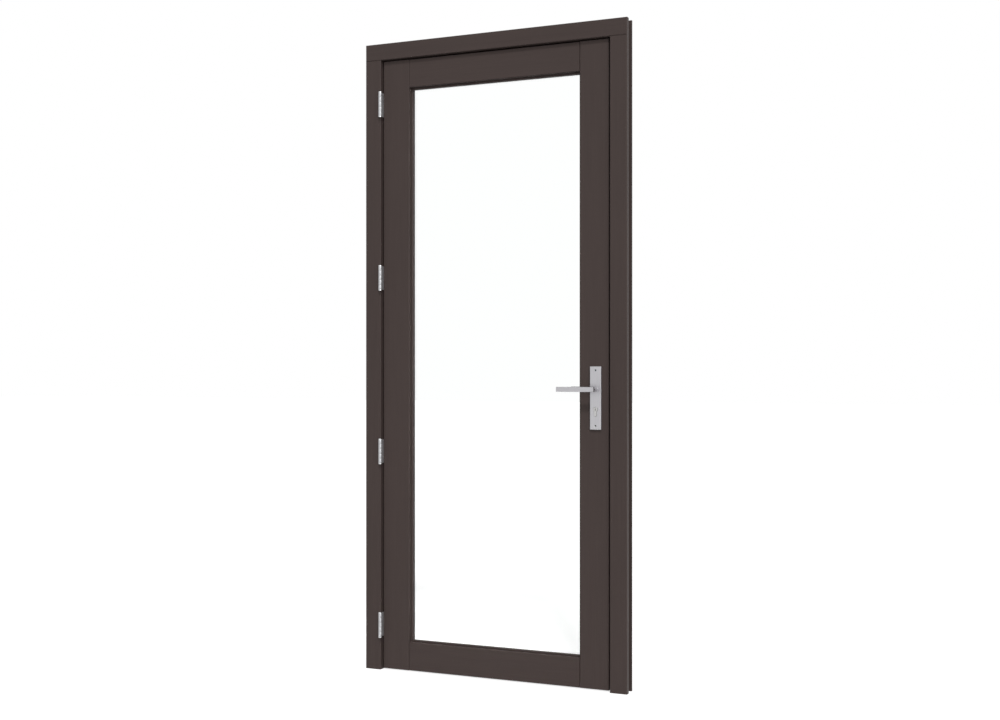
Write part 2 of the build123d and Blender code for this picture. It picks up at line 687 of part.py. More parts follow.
def frame_jamb_lock():
    """Lock jamb with the strike's recess and a pocket behind each of its holes."""
    jamb = frame_jamb(1)
    half = STRIKE_W / 2 + PILOT_CLEAR
    reach = STRIKE_H / 2 + PILOT_CLEAR
    recess = box(JAMB_X, JAMB_X + STRIKE_T, -half, half, LOCK_Z - reach, LOCK_Z + reach)
    jamb = jamb - fillet(recess.edges().filter_by(Axis.X), PLATE_CORNER)
    jamb = jamb - strike_holes(JAMB_X, LEAF_RIGHT + DEADBOLT_OUT + STRIKE_MARGIN, STRIKE_MARGIN)
    for hole in strike_screws(pilot_hole):
        jamb = jamb - hole
    return jamb


def frame_jamb_hinge():
    jamb = frame_jamb(-1)
    for level in HINGE_LEVELS:
        for hole in hinge_screws(-1, level, pilot_hole):
            jamb = jamb - hole
    return jamb


# Key cylinder: one body with a plug at each end and a cam between them

def cylinder_body():
    end = LEAF_BACK + BACKPLATE_T + CYLINDER_PROUD
    body = cylinder_profile(-end, end)
    body = body - rod_y(-end, end, HANDLE_X, CYLINDER_Z, PLUG_R + RUN_FIT)
    room = CAM_T / 2 + CAM_ROOM
    body = body - rod_y(-room, room, HANDLE_X, CYLINDER_Z, CAM_REACH + CAM_ROOM)
    return body - cylinder_screw(screw_seat)


def cylinder_plug(sign):
    """Plug with its keyway open at the outer end."""
    outer = LEAF_BACK + BACKPLATE_T + CYLINDER_PROUD
    inner = CAM_T / 2 if sign < 0 else CAM_T / 2 + BOLT_FIT
    plug = rod_y(sign * inner, sign * outer, HANDLE_X, CYLINDER_Z, PLUG_R)
    half = KEYWAY_W / 2
    depth = outer - CAM_T
    top = CYLINDER_Z + KEYWAY_H / 2
    return plug - box(HANDLE_X - half, HANDLE_X + half, sign * (outer - depth), sign * outer,
                      top - KEYWAY_H, top)


def cylinder_cam():
    """Cam between the plugs, with its lobe down."""
    half = CAM_T / 2
    cam = rod_y(-half, half, HANDLE_X, CYLINDER_Z, CAM_HUB_R)
    lobe = box(HANDLE_X - CAM_LOBE_W / 2, HANDLE_X + CAM_LOBE_W / 2, -half, half,
               CYLINDER_Z - CAM_REACH, CYLINDER_Z)
    sweep = rod_y(-half, half, HANDLE_X, CYLINDER_Z, CAM_REACH)
    return cam + (lobe & sweep)


# Handles: sign -1 is the face that the viewer sees, 1 the other face of the leaf

def backplate(sign):
    """Long cast plate, hollow behind, with bosses for its two screws."""
    seat = sign * LEAF_BACK
    front = sign * (LEAF_BACK + BACKPLATE_T)
    floor = sign * (LEAF_BACK + BACKPLATE_T - BACKPLATE_SKIN)
    half_w, half_h = BACKPLATE_W / 2, BACKPLATE_H / 2
    plate = box(HANDLE_X - half_w, HANDLE_X + half_w, seat, front,
                BACKPLATE_Z - half_h, BACKPLATE_Z + half_h)
    outer = plate.faces().sort_by(Axis.Y)[0 if sign < 0 else -1]
    plate = chamfer(outer.edges(), BACKPLATE_BEVEL)
    skin = BACKPLATE_SKIN
    plate = plate - box(HANDLE_X - half_w + skin, HANDLE_X + half_w - skin, seat, floor,
                        BACKPLATE_Z - half_h + skin, BACKPLATE_Z + half_h - skin)
    plate = plate + (rod_y(seat, floor, HANDLE_X, LEVER_Z, COLLAR_R + skin) - rod_y(
        seat, floor, HANDLE_X, LEVER_Z, COLLAR_R))
    for level in SCREW_LEVELS:
        plate = plate + rod_y(seat, floor, HANDLE_X, level, BOSS_R)
    plate = plate - rod_y(seat, front, HANDLE_X, LEVER_Z, NECK_R + RUN_FIT)
    plate = plate - cylinder_profile(seat, front, RUN_FIT)
    for level in SCREW_LEVELS:
        plate = plate - rod_y(seat, floor, HANDLE_X, level, SLEEVE_R + RUN_FIT)
    if sign < 0:
        for hole in backplate_screws(screw_seat):
            plate = plate - hole
    return plate


def backplate_screws(make):
    front = LEAF_FRONT - BACKPLATE_T
    length = BACKPLATE_T + LEAF_T / 2
    return [Pos(HANDLE_X, front, level) * Rot(-90, 0, 0)
            * make(MACHINE_SCREW_R, MACHINE_HEAD_R, length) for level in SCREW_LEVELS]


def backplate_sleeves():
    """Threaded sleeves from the far plate, which the two screws pull on."""
    start = LEAF_FRONT - BACKPLATE_T + BACKPLATE_SKIN + CASE_CLEAR
    end = LEAF_BACK + BACKPLATE_T - BACKPLATE_SKIN
    return [rod_y(start, end, HANDLE_X, level, SLEEVE_R)
            - rod_y(start, end - BACKPLATE_SKIN, HANDLE_X, level, MACHINE_SCREW_R + RUN_FIT)
            for level in SCREW_LEVELS]


def lever(sign):
    """Flat lever with rounded edges on a round neck that turns in the backplate."""
    mid = sign * (LEAF_BACK + LEVER_OFFSET)
    x_end = HANDLE_X + NECK_R
    bar = box(x_end - LEVER_L, x_end, mid - LEVER_T / 2, mid + LEVER_T / 2,
              LEVER_Z - LEVER_H / 2, LEVER_Z + LEVER_H / 2)
    bar = fillet(bar.edges().filter_by(Axis.X), LEVER_ROUND)
    plate_face = sign * (LEAF_BACK + BACKPLATE_T)
    seat = sign * (LEAF_BACK + BACKPLATE_T - BACKPLATE_SKIN - COLLAR_T)
    neck = rod_y(seat, mid, HANDLE_X, LEVER_Z, NECK_R)
    collar = rod_y(plate_face + sign * BOLT_FIT, plate_face + sign * (BOLT_FIT + COLLAR_T),
                   HANDLE_X, LEVER_Z, COLLAR_R)
    rim = collar.edges().filter_by(GeomType.CIRCLE).sort_by(Axis.Y)[0 if sign < 0 else -1]
    body = bar + neck + chamfer(rim, COLLAR_BEVEL)
    half = SPINDLE / 2 + SPINDLE_FIT
    socket = sign * (abs(mid) - LEVER_T)
    body = body - box(HANDLE_X - half, HANDLE_X + half, seat, socket, LEVER_Z - half, LEVER_Z + half)
    return body - rod_z(LEVER_Z - NECK_R, LEVER_Z, HANDLE_X, set_screw_y(sign), SET_SCREW_R + PILOT_CLEAR)


def set_screw_y(sign):
    return sign * (LEAF_BACK + BACKPLATE_T + LEVER_OFFSET) / 2 + sign * LEVER_T / 2


def lever_set_screws():
    """Grub screws that hold the levers on the spindle, from below."""
    top = LEVER_Z - SPINDLE / 2
    low = LEVER_Z - NECK_R + SET_SCREW_SUNK
    return [rod_z(low, top, HANDLE_X, set_screw_y(sign), SET_SCREW_R) for sign in (-1, 1)]


def spindle():
    reach = LEAF_BACK + LEVER_OFFSET - LEVER_T - BOLT_FIT
    half = SPINDLE / 2
    return box(HANDLE_X - half, HANDLE_X + half, -reach, reach, LEVER_Z - half, LEVER_Z + half)


def write(name, shape):
    if isinstance(shape, list):
        shape = Compound([piece.solid() for piece in shape])
    export_step(shape, "parts/" + name + ".step")


def main():
    os.makedirs("parts", exist_ok=True)
    write("frame_head", frame_head())
    write("frame_jamb_hinge", frame_jamb_hinge())
    write("frame_jamb_lock", frame_jamb_lock())
    write("frame_corner_screws", corner_screws(screw))
    write("seal_head", frame_seal("top"))
    write("seal_hinge_side", frame_seal("left"))
    write("seal_lock_side", frame_seal("right"))
    write("strike_plate", strike_plate())
    write("strike_screws", strike_screws(screw))

    frame_screws = []
    leaf_screws = []
    for number, level in enumerate(HINGE_LEVELS, start=1):
        write(f"hinge_frame_plate_{number}", hinge_plate(-1, level))
        write(f"hinge_leaf_plate_{number}", hinge_plate(1, level))
        write(f"hinge_pin_{number}", hinge_pin(level))
        frame_screws += hinge_screws(-1, level, screw)
        leaf_screws += hinge_screws(1, level, screw)
    write("hinge_screws_frame", frame_screws)
    write("hinge_screws_leaf", leaf_screws)

    write("leaf_stile_hinge", leaf_stile_hinge())
    write("leaf_stile_lock", leaf_stile_lock())
    write("leaf_rail_top", leaf_rail(LEAF_TOP, OPEN_TOP))
    write("leaf_rail_bottom", leaf_rail(LEAF_LOW, OPEN_LOW))
    write("leaf_dowels", dowels())
    write("bead_top", glazing_bead("top"))
    write("bead_bottom", glazing_bead("bottom"))
    write("bead_hinge_side", glazing_bead("left"))
    write("bead_lock_side", glazing_bead("right"))
    write("glass_pane", glass_pane())
    write("glazing_tape_front", glazing_tape(GLASS_Y - TAPE_T, BEAD_W))
    write("glazing_tape_rear", glazing_tape(GLASS_Y + GLASS_T, NIB_W))
    write("setting_blocks", setting_blocks())

    write("lock_case", lock_case())
    write("lock_faceplate", lock_faceplate())
    write("lock_faceplate_screws", faceplate_screws(screw))
    write("lock_follower", lock_follower())
    write("latch_bolt", latch_bolt())
    write("deadbolt", deadbolt())
    write("cylinder_body", cylinder_body())
    write("cylinder_plug_front", cylinder_plug(-1))
    write("cylinder_plug_rear", cylinder_plug(1))
    write("cylinder_cam", cylinder_cam())
    write("cylinder_fixing_screw", cylinder_screw(screw))

    write("backplate_front", backplate(-1))
    write("backplate_rear", backplate(1))
    write("backplate_screws", backplate_screws(screw))
    write("backplate_sleeves", backplate_sleeves())
    write("lever_front", lever(-1))
    write("lever_rear", lever(1))
    write("lever_set_screws", lever_set_screws())
    write("spindle", spindle())


main()
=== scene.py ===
import math

import bmesh
import bpy
from mathutils import Matrix, Vector


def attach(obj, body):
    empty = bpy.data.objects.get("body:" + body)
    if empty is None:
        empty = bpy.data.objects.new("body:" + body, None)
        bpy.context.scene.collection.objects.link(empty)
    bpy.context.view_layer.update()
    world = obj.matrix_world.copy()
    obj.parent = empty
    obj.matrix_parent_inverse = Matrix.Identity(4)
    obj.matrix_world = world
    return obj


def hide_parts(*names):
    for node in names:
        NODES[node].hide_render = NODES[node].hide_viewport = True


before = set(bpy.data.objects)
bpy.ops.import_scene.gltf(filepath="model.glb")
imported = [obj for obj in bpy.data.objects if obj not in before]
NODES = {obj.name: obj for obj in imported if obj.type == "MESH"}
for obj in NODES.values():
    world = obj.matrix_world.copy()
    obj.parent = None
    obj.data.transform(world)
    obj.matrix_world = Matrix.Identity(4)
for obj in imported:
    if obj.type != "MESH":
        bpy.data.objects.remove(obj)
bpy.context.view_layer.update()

# Camera at the photograph's place, level, with a slight upward shift
CAMERA_PLACE = (1.955, -4.475, 1.142)
CAMERA_TURN = math.radians(23.4)
CAMERA_LENS = 47.41
CAMERA_SENSOR = 36
CAMERA_SHIFT_Y = 0.0104

# Lamps: where each comes from, its strength, and how wide it looks in radians
HIGH_LAMP = {"source": (0.38, -0.72, 0.95), "strength": 1.9, "angle": 0.12}
LOW_LAMP = {"source": (0.80, -0.80, 0.28), "strength": 1.25, "angle": 0.7}

# Light from all round, and the floor's half side in metres, its colour and its glow in the picture
AMBIENT = 0.30
FLOOR_REACH = 40
FLOOR_COLOUR = (0.60, 0.60, 0.60, 1)
FLOOR_GLOW = 0.64
WHITE = (1, 1, 1, 1)

# Colours, linear
PAINT = (0.048, 0.0345, 0.0315)
STEEL = (0.462, 0.455, 0.474)
HINGE = (0.45, 0.45, 0.46)
PIN = (0.62, 0.62, 0.63)
ZINC_WARM = (0.51, 0.51, 0.4982)
ZINC_COOL = (0.475, 0.51, 0.5512)
NICKEL = (0.49, 0.485, 0.48)
# Painted shade: near-black colour put on the deep part of each screw recess, where shade falls
RECESS_SHADE_COLOUR = (0.02, 0.02, 0.021)
RUBBER = (0.018, 0.018, 0.019)
BEECH = (0.50, 0.34, 0.20)
PLASTIC = (0.10, 0.10, 0.11)
GLASS = (0.99, 1.0, 0.995)

# Textures are given in marks a metre, a relief as its height in metres and its strength, shades as
# shares of the written colour, and a range as the lowest and highest value used of a texture
NOISE_RANGE = (0.3, 0.7)

# Sprayed paint on timber; pores and rings are counted across and along the grain
PAINT_SPECULAR = 0.2
PORES = (220.0, 5.0)
RINGS = (38.0, 1.4)
PAINT_CLOUDS = (2.2, 2.2, 1.6)
SPRAY_PEEL = 620.0
RING_SHARE = 0.6
CLOUD_SHARE = 0.7
PAINT_RANGE = (0.75, 1.55)
PAINT_SHADES = (0.90, 1.10)
PAINT_ROUGHNESS = (0.60, 0.50)
PORE_RELIEF = (0.00012, 0.35)
RING_RELIEF = (0.0003, 0.20)
PEEL_RELIEF = (0.00008, 0.16)

# Metal
BRUSH_LINES = 900.0
BRUSH_STRETCH = 45
CAST_GRAINS = 500.0
METAL_CLOUDS = 28.0
METAL_SHADES = (0.93, 1.06)
METAL_CLOUD_SHARE = 0.6
METAL_RANGE = (0.5, 1.1)
METAL_HEIGHT = 0.00005

# Zinc plating
ZINC_CRYSTALS = 260.0
ZINC_CLOUDS = 70.0
ZINC_TINT_RANGE = (0.35, 0.65)
ZINC_CRYSTAL_RANGE = (0.0, 0.8)
ZINC_ROUGHNESS = (0.24, 0.40)
ZINC_RELIEF = (0.00004, 0.2)

# Rubber and plastic
SOFT_SPECULAR = 0.35
SOFT_CLOUDS = 35.0
SOFT_SHADES = (0.85, 1.2)
SOFT_HEIGHT = 0.0001

# Beech, with its grain along X
BEECH_FLECKS = (60.0, 900.0, 900.0)
BEECH_SHADES = (0.8, 1.15)
BEECH_ROUGHNESS = (0.55, 0.75)
BEECH_RELIEF = (0.0002, 0.3)

# Glass
GLASS_IOR = 1.5
GLASS_WAVES = (1.6, 1.6, 0.9)
GLASS_RELIEF = (0.0002, 0.05)

# Screw heads; sizes of a recess are shares of the head's radius, those of its walls shares of it
HEAD_RINGS = 16
SCREW_SIDES = 40
CROSS_REACH = 0.62
CROSS_SLOT = 0.15
CROSS_DEPTH = 0.42
CROSS_WALL = 0.35
CROSS_END = 0.55
CROSS_END_RISE = 1.2
HEX_REACH = 0.80
HEX_DEPTH = 0.75
HEX_WALL = 0.08
# Recess depth, as a share of the head's radius, beyond which faces get the painted shade
PAINTED_SHADE_FROM = 0.2
SPIN_PER_METRE = 3.5

# Screw threads; pitch, root, crest and tip are shares of the shank's radius
THREAD_PITCH = 0.9
THREAD_STEPS = 5
THREAD_ROOT = 0.78
THREAD_CREST = 0.2
THREAD_SHARPNESS = 4
THREAD_TIP = 1.5
SMOOTH_UNDER = math.radians(35)

# Screws: body, direction from the head along the shank, drive, shank's share of the head's radius
WOOD_SHANK = 0.5
MACHINE_SHANK = 0.555
SCREWS = {
    "hinge_screws_frame": ("frame", (-1, 0, 0), "cross", WOOD_SHANK),
    "hinge_screws_leaf": ("leaf", (1, 0, 0), "cross", WOOD_SHANK),
    "strike_screws": ("frame", (1, 0, 0), "cross", WOOD_SHANK),
    "lock_faceplate_screws": ("leaf", (-1, 0, 0), "cross", WOOD_SHANK),
    "cylinder_fixing_screw": ("leaf", (-1, 0, 0), "cross", MACHINE_SHANK),
    "backplate_screws": ("leaf", (0, 1, 0), "hex", MACHINE_SHANK),
    "frame_corner_screws": ("frame", (0, 0, -1), "cross", WOOD_SHANK),
}

# Key cylinder: its axis in X and Z, how far below it the stem's round end has its centre, how far
# below it the stem starts, and how far out a point of the cut-out round the stem or the plug lies
CYLINDER_X = 0.404
CYLINDER_Z = 1.0025
STEM_DROP = 0.0195
STEM_TOP = 0.0060
STEM_REACH = 0.0056
PLUG_REACH = 0.0091
CUT_OUT_GAP = 0.0007

# Rounded edges
EDGE_WIDTH = 0.0003
EDGE_SEGMENTS = 2
EDGE_ANGLE = math.radians(30)
WELD_GAP = 1e-5
SAME_POINT = 1e-6


# Shader nodes

def add_node(tree, kind, **values):
    """New shader node; a value that is a socket is linked, any other is set on the input."""
    made = tree.nodes.new("ShaderNode" + kind)
    for name, value in values.items():
        by_number = name[0] == "i" and name[1:].isdigit()
        target = made.inputs[int(name[1:])] if by_number else made.inputs.get(name.replace("_", " "))
        if target is None:
            setattr(made, name, value)
        elif isinstance(value, bpy.types.NodeSocket):
            tree.links.new(value, target)
        else:
            target.default_value = value
    return made


def start_material(name, **settings):
    """New material with its node tree and shader; settings are values of the shader's sockets."""
    material = bpy.data.materials.new(name)
    material.use_nodes = True
    tree = material.node_tree
    shader = tree.nodes["Principled BSDF"]
    for key, value in settings.items():
        shader.inputs[key.replace("_", " ")].default_value = value
    return material, tree, shader


def marks(across, along=None, axis=None):
    """Marks a metre on X, Y and Z, with another number on one axis if one is named."""
    return [along if name == axis else across for name in "xyz"]


def stretched(tree, scale):
    """Object coordinates, which are the row frame's, scaled by an amount for each axis."""
    place = add_node(tree, "TexCoord")
    return add_node(tree, "Mapping", Vector=place.outputs["Object"], Scale=scale).outputs["Vector"]


def noise(tree, scale, detail=3.0, roughness=0.5):
    made = add_node(tree, "TexNoise", Vector=stretched(tree, scale), Scale=1.0, Detail=detail,
                    Roughness=roughness)
    return made.outputs["Fac"]


def math_node(tree, operation, *values):
    inputs = {f"i{number}": value for number, value in enumerate(values)}
    return add_node(tree, "Math", operation=operation, **inputs).outputs[0]


def ramp(tree, factor, low, high, out_low, out_high):
    made = add_node(tree, "MapRange", i0=factor, i1=low, i2=high, i3=out_low, i4=out_high)
    return made.outputs["Result"]


def mixed(tree, factor, colour_low, colour_high):
    made = add_node(tree, "Mix", data_type="RGBA")
    tree.links.new(factor, made.inputs["Factor"])
    made.inputs[6].default_value = (*colour_low, 1)
    made.inputs[7].default_value = (*colour_high, 1)
    return made.outputs[2]


def shades(tree, factor, colour, low, high):
    """Colour that runs from low to high times its written value as factor goes from 0 to 1."""
    return mixed(tree, factor, [part * low for part in colour], [part * high for part in colour])


def bump(tree, texture, height, strength, below=None):
    made = add_node(tree, "Bump", Height=texture, Distance=height, Strength=strength)
    if below is not None:
        tree.links.new(below, made.inputs["Normal"])
    return made.outputs["Normal"]


def seen_directly(tree):
    """1 for rays from the camera and for those that metal or glass sends on, 0 for light."""
    path = add_node(tree, "LightPath")
    seen = math_node(tree, "MAXIMUM", path.outputs["Is Camera Ray"], path.outputs["Is Glossy Ray"])
    return math_node(tree, "MAXIMUM", seen, path.outputs["Is Transmission Ray"])


# Materials

def paint(name, axis):
    """Sprayed satin paint on planed timber, with the grain faintly raised along the member."""
    material, tree, shader = start_material(name, Specular_IOR_Level=PAINT_SPECULAR)
    pores = noise(tree, marks(*PORES, axis), detail=5, roughness=0.65)
    rings = noise(tree, marks(*RINGS, axis), detail=4, roughness=0.55)
    clouds = noise(tree, PAINT_CLOUDS, detail=2)
    peel = noise(tree, marks(SPRAY_PEEL), detail=1)
    tone = math_node(tree, "MULTIPLY_ADD", rings, RING_SHARE, pores)
    tone = math_node(tree, "MULTIPLY_ADD", clouds, CLOUD_SHARE, tone)
    colour = shades(tree, ramp(tree, tone, *PAINT_RANGE, 0, 1), PAINT, *PAINT_SHADES)
    tree.links.new(colour, shader.inputs["Base Color"])
    tree.links.new(ramp(tree, pores, *NOISE_RANGE, *PAINT_ROUGHNESS), shader.inputs["Roughness"])
    grain = bump(tree, pores, *PORE_RELIEF)
    grain = bump(tree, rings, *RING_RELIEF, grain)
    tree.links.new(bump(tree, peel, *PEEL_RELIEF, grain), shader.inputs["Normal"])
    return material


def metal(name, colour, axis, roughness=(0.26, 0.40), mark=0.25, lines=BRUSH_LINES):
    """Metal with fine brushing along one axis, or cast and blasted when axis is None."""
    material, tree, shader = start_material(name, Metallic=1.0)
    brushing = noise(tree, marks(lines, lines / BRUSH_STRETCH, axis), detail=4, roughness=0.7)
    clouds = noise(tree, marks(METAL_CLOUDS), detail=3)
    tone = shades(tree, ramp(tree, brushing, *NOISE_RANGE, 0, 1), colour, *METAL_SHADES)
    tree.links.new(tone, shader.inputs["Base Color"])
    worn = math_node(tree, "MULTIPLY_ADD", clouds, METAL_CLOUD_SHARE, brushing)
    tree.links.new(ramp(tree, worn, *METAL_RANGE, *roughness), shader.inputs["Roughness"])
    tree.links.new(bump(tree, brushing, METAL_HEIGHT, mark), shader.inputs["Normal"])
    return material


def zinc():
    """Bright zinc plating: fine crystal spots and a faint yellow and blue passivation."""
    material, tree, shader = start_material("zinc_plating", Metallic=1.0)
    crystals = add_node(tree, "TexVoronoi", Vector=stretched(tree, marks(ZINC_CRYSTALS)), Scale=1.0)
    clouds = noise(tree, marks(ZINC_CLOUDS), detail=4)
    tint = mixed(tree, ramp(tree, clouds, *ZINC_TINT_RANGE, 0, 1), ZINC_WARM, ZINC_COOL)
    tree.links.new(tint, shader.inputs["Base Color"])
    gloss = ramp(tree, crystals.outputs["Distance"], *ZINC_CRYSTAL_RANGE, *ZINC_ROUGHNESS)
    tree.links.new(gloss, shader.inputs["Roughness"])
    tree.links.new(bump(tree, clouds, *ZINC_RELIEF), shader.inputs["Normal"])
    return material


def soft(name, colour, roughness, grit, specks):
    """Rubber or plastic skin with a fine moulded grit; also used for the painted shade in screw recesses.
    """
    material, tree, shader = start_material(name, Specular_IOR_Level=SOFT_SPECULAR)
    grains = noise(tree, marks(specks), detail=3)
    clouds = noise(tree, marks(SOFT_CLOUDS), detail=2)
    tree.links.new(shades(tree, clouds, colour, *SOFT_SHADES), shader.inputs["Base Color"])
    tree.links.new(ramp(tree, grains, *NOISE_RANGE, *roughness), shader.inputs["Roughness"])
    tree.links.new(bump(tree, grains, SOFT_HEIGHT, grit), shader.inputs["Normal"])
    return material


def beech():
    material, tree, shader = start_material("beech")
    flecks = noise(tree, BEECH_FLECKS, detail=4)
    tree.links.new(shades(tree, flecks, BEECH, *BEECH_SHADES), shader.inputs["Base Color"])
    tree.links.new(ramp(tree, flecks, *NOISE_RANGE, *BEECH_ROUGHNESS), shader.inputs["Roughness"])
    tree.links.new(bump(tree, flecks, *BEECH_RELIEF), shader.inputs["Normal"])
    return material


def glass():
    """Clear float glass, all but flat."""
    material, tree, shader = start_material("float_glass", Transmission_Weight=1.0, Roughness=0.0,
                                            IOR=GLASS_IOR, Base_Color=(*GLASS, 1))
    waves = noise(tree, GLASS_WAVES, detail=1)
    tree.links.new(bump(tree, waves, *GLASS_RELIEF), shader.inputs["Normal"])
    return material


PAINT_Z = paint("paint_upright", "z")
PAINT_X = paint("paint_level", "x")
PLATE_STEEL = metal("satin_steel_plate", STEEL, "z")
LEVER_STEEL = metal("satin_steel_lever", STEEL, "x")
HINGE_STEEL = metal("hinge_steel", HINGE, "z", roughness=(0.54, 0.62), mark=0.10)
PIN_STEEL = metal("pin_steel", PIN, None, roughness=(0.16, 0.28), mark=0.08, lines=CAST_GRAINS)
LOCK_STEEL = metal("lock_steel", STEEL, "z", roughness=(0.28, 0.42))
NICKEL_BRASS = metal("satin_nickel", NICKEL, "y", roughness=(0.22, 0.36), mark=0.15)
ZINC_PLATE = zinc()
RUBBER_BLACK = soft("seal_rubber", RUBBER, roughness=(0.55, 0.75), grit=0.35, specks=1400.0)
BLOCK_PLASTIC = soft("block_plastic", PLASTIC, roughness=(0.40, 0.55), grit=0.20, specks=900.0)
# Painted shade for the deep part of the screw recesses, not a black finish of the screws
RECESS_PAINTED_SHADE = soft("recess_painted_shade", RECESS_SHADE_COLOUR, roughness=(0.6, 0.8), grit=0.3, specks=1800.0)
BEECH_WOOD = beech()
CLEAR_GLASS = glass()

LOOKS = {
    PAINT_Z: ["frame_jamb_hinge", "frame_jamb_lock", "leaf_stile_hinge", "leaf_stile_lock",
              "bead_hinge_side", "bead_lock_side"],
    PAINT_X: ["frame_head", "leaf_rail_top", "leaf_rail_bottom", "bead_top", "bead_bottom"],
    PLATE_STEEL: ["backplate_front", "backplate_rear"],
    LEVER_STEEL: ["lever_front", "lever_rear"],
    HINGE_STEEL: [f"hinge_{side}_plate_{number}" for side in ("frame", "leaf") for number in range(1, 5)],
    PIN_STEEL: [f"hinge_pin_{number}" for number in range(1, 5)],
    LOCK_STEEL: ["strike_plate", "lock_faceplate", "latch_bolt", "deadbolt"],
    NICKEL_BRASS: ["cylinder_body", "cylinder_plug_front", "cylinder_plug_rear", "cylinder_cam"],
    ZINC_PLATE: [*SCREWS, "backplate_sleeves", "lever_set_screws", "spindle", "lock_case",
                 "lock_follower"],
    RUBBER_BLACK: ["seal_head", "seal_hinge_side", "seal_lock_side", "glazing_tape_front",
                   "glazing_tape_rear"],
    BLOCK_PLASTIC: ["setting_blocks"],
    BEECH_WOOD: ["leaf_dowels"],
    CLEAR_GLASS: ["glass_pane"],
}
ROUNDED = [*LOOKS[HINGE_STEEL], "latch_bolt", "deadbolt", "cylinder_body", "cylinder_plug_front",
           "cylinder_plug_rear", "spindle", "lock_follower"]


def give_looks():
    for look, names in LOOKS.items():
        for name in names:
            NODES[name].data.materials.clear()
            NODES[name].data.materials.append(look)
    # The pane lets the lamps through instead of shading the floor
    NODES["glass_pane"].visible_shadow = False


def add_piece(name, mesh, body, node):
    """New piece that rides on a body and stands for a CAD node."""
    piece = bpy.data.objects.new(name, mesh)
    bpy.context.scene.collection.objects.link(piece)
    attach(piece, body)
    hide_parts(node)


# Screws with their drives and threads, each where its CAD solid is

def islands(node):
    """Lowest and highest corner of each loose solid of a CAD node."""
    work = bmesh.new()
    work.from_mesh(NODES[node].data)
    bmesh.ops.remove_doubles(work, verts=work.verts, dist=SAME_POINT)
    seen = set()
    found = []
    for start in work.verts:
        if start in seen:
            continue
        seen.add(start)
        stack = [start]
        low, high = start.co.copy(), start.co.copy()
        while stack:
            vert = stack.pop()
            low = Vector(map(min, low, vert.co))
            high = Vector(map(max, high, vert.co))
            near = [edge.other_vert(vert) for edge in vert.link_edges]
            fresh = [other for other in near if other not in seen]
            seen.update(fresh)
            stack += fresh
        found.append((low, high))
    work.free()
    return found


def clamped(value):
    return min(1.0, max(0.0, value))


def cross_recess(x, y, head):
    """Depth of a cross recess at a point of the head."""
    slot = head * CROSS_SLOT
    reach = head * CROSS_REACH
    wall = clamped((slot - min(abs(x), abs(y))) / (slot * CROSS_WALL))
    end = clamped((reach - max(abs(x), abs(y))) / (reach * CROSS_END))
    return min(wall, end * CROSS_END_RISE) * head * CROSS_DEPTH


def hex_recess(x, y, head):
    """Depth of a hexagon recess at a point of the head."""
    reach = head * HEX_REACH
    turns = (0, math.pi / 3, 2 * math.pi / 3)
    far = max(abs(x * math.cos(turn) + y * math.sin(turn)) for turn in turns)
    return clamped((reach - far) / (reach * HEX_WALL)) * head * HEX_DEPTH


RECESSES = {"cross": cross_recess, "hex": hex_recess}


def around(radius):
    """Points of a ring round the screw's axis, in X and Y."""
    angles = [2 * math.pi * side / SCREW_SIDES for side in range(SCREW_SIDES)]
    return [(radius * math.cos(angle), radius * math.sin(angle)) for angle in angles]


def head_rows(work, place, head, drive):
    """Rings of vertices over the head's top, from its centre out, and the depth of each vertex."""
    recess = RECESSES[drive]
    depth = recess(0, 0, head)
    centre = work.verts.new(place @ Vector((0, 0, depth)))
    depths = {centre: depth}
    rows = [[centre] * SCREW_SIDES]
    for ring in range(1, HEAD_RINGS + 1):
        row = []
        for x, y in around(head * ring / HEAD_RINGS):
            depth = recess(x, y, head)
            row.append(work.verts.new(place @ Vector((x, y, depth))))
            depths[row[-1]] = depth
        rows.append(row)
    return rows, depths


def thread_radius(shank, turned, side, fade):
    """The thread's radius after some turns along the shank, on one side of the screw."""
    phase = (turned - side / SCREW_SIDES) % 1
    crest = max(0.0, 1 - abs(phase - 0.5) * THREAD_SHARPNESS)
    return shank * (THREAD_ROOT + THREAD_CREST * crest * fade)


def shank_rows(work, place, head, shank, length):
    """Rings of vertices from the cone under the head along the thread to the tip."""
    rows = [[work.verts.new(place @ Vector((x, y, z))) for x, y in around(shank)]
            for z in (head - shank, head)]
    pitch = shank * THREAD_PITCH
    run = length - shank * THREAD_TIP - head
    count = max(2, int(run / pitch * THREAD_STEPS))
    for step in range(count + 1):
        along = run * step / count
        fade = min(1.0, step / THREAD_STEPS, (count - step) / THREAD_STEPS)
        row = []
        for side, (x, y) in enumerate(around(1.0)):
            radius = thread_radius(shank, along / pitch, side, fade)
            row.append(work.verts.new(place @ Vector((radius * x, radius * y, head + along))))
        rows.append(row)
    tip = work.verts.new(place @ Vector((0, 0, length)))
    rows.append([tip] * SCREW_SIDES)
    return rows


def screw_mesh(work, place, head, shank, length, drive):
    """Adds one screw to the mesh; it runs along local +Z from its head's top at 0."""
    rows, depths = head_rows(work, place, head, drive)
    rows += shank_rows(work, place, head, shank, length)
    for upper, under in zip(rows, rows[1:]):
        for side in range(SCREW_SIDES):
            after = (side + 1) % SCREW_SIDES
            corners = list(dict.fromkeys((upper[side], upper[after], under[after], under[side])))
            made = work.faces.new(corners)
            # Faces deep in the recess get the painted shade material, the rest get the plating
            painted_shade = min(depths.get(corner, 0) for corner in corners) > head * PAINTED_SHADE_FROM
            made.material_index = 1 if painted_shade else 0


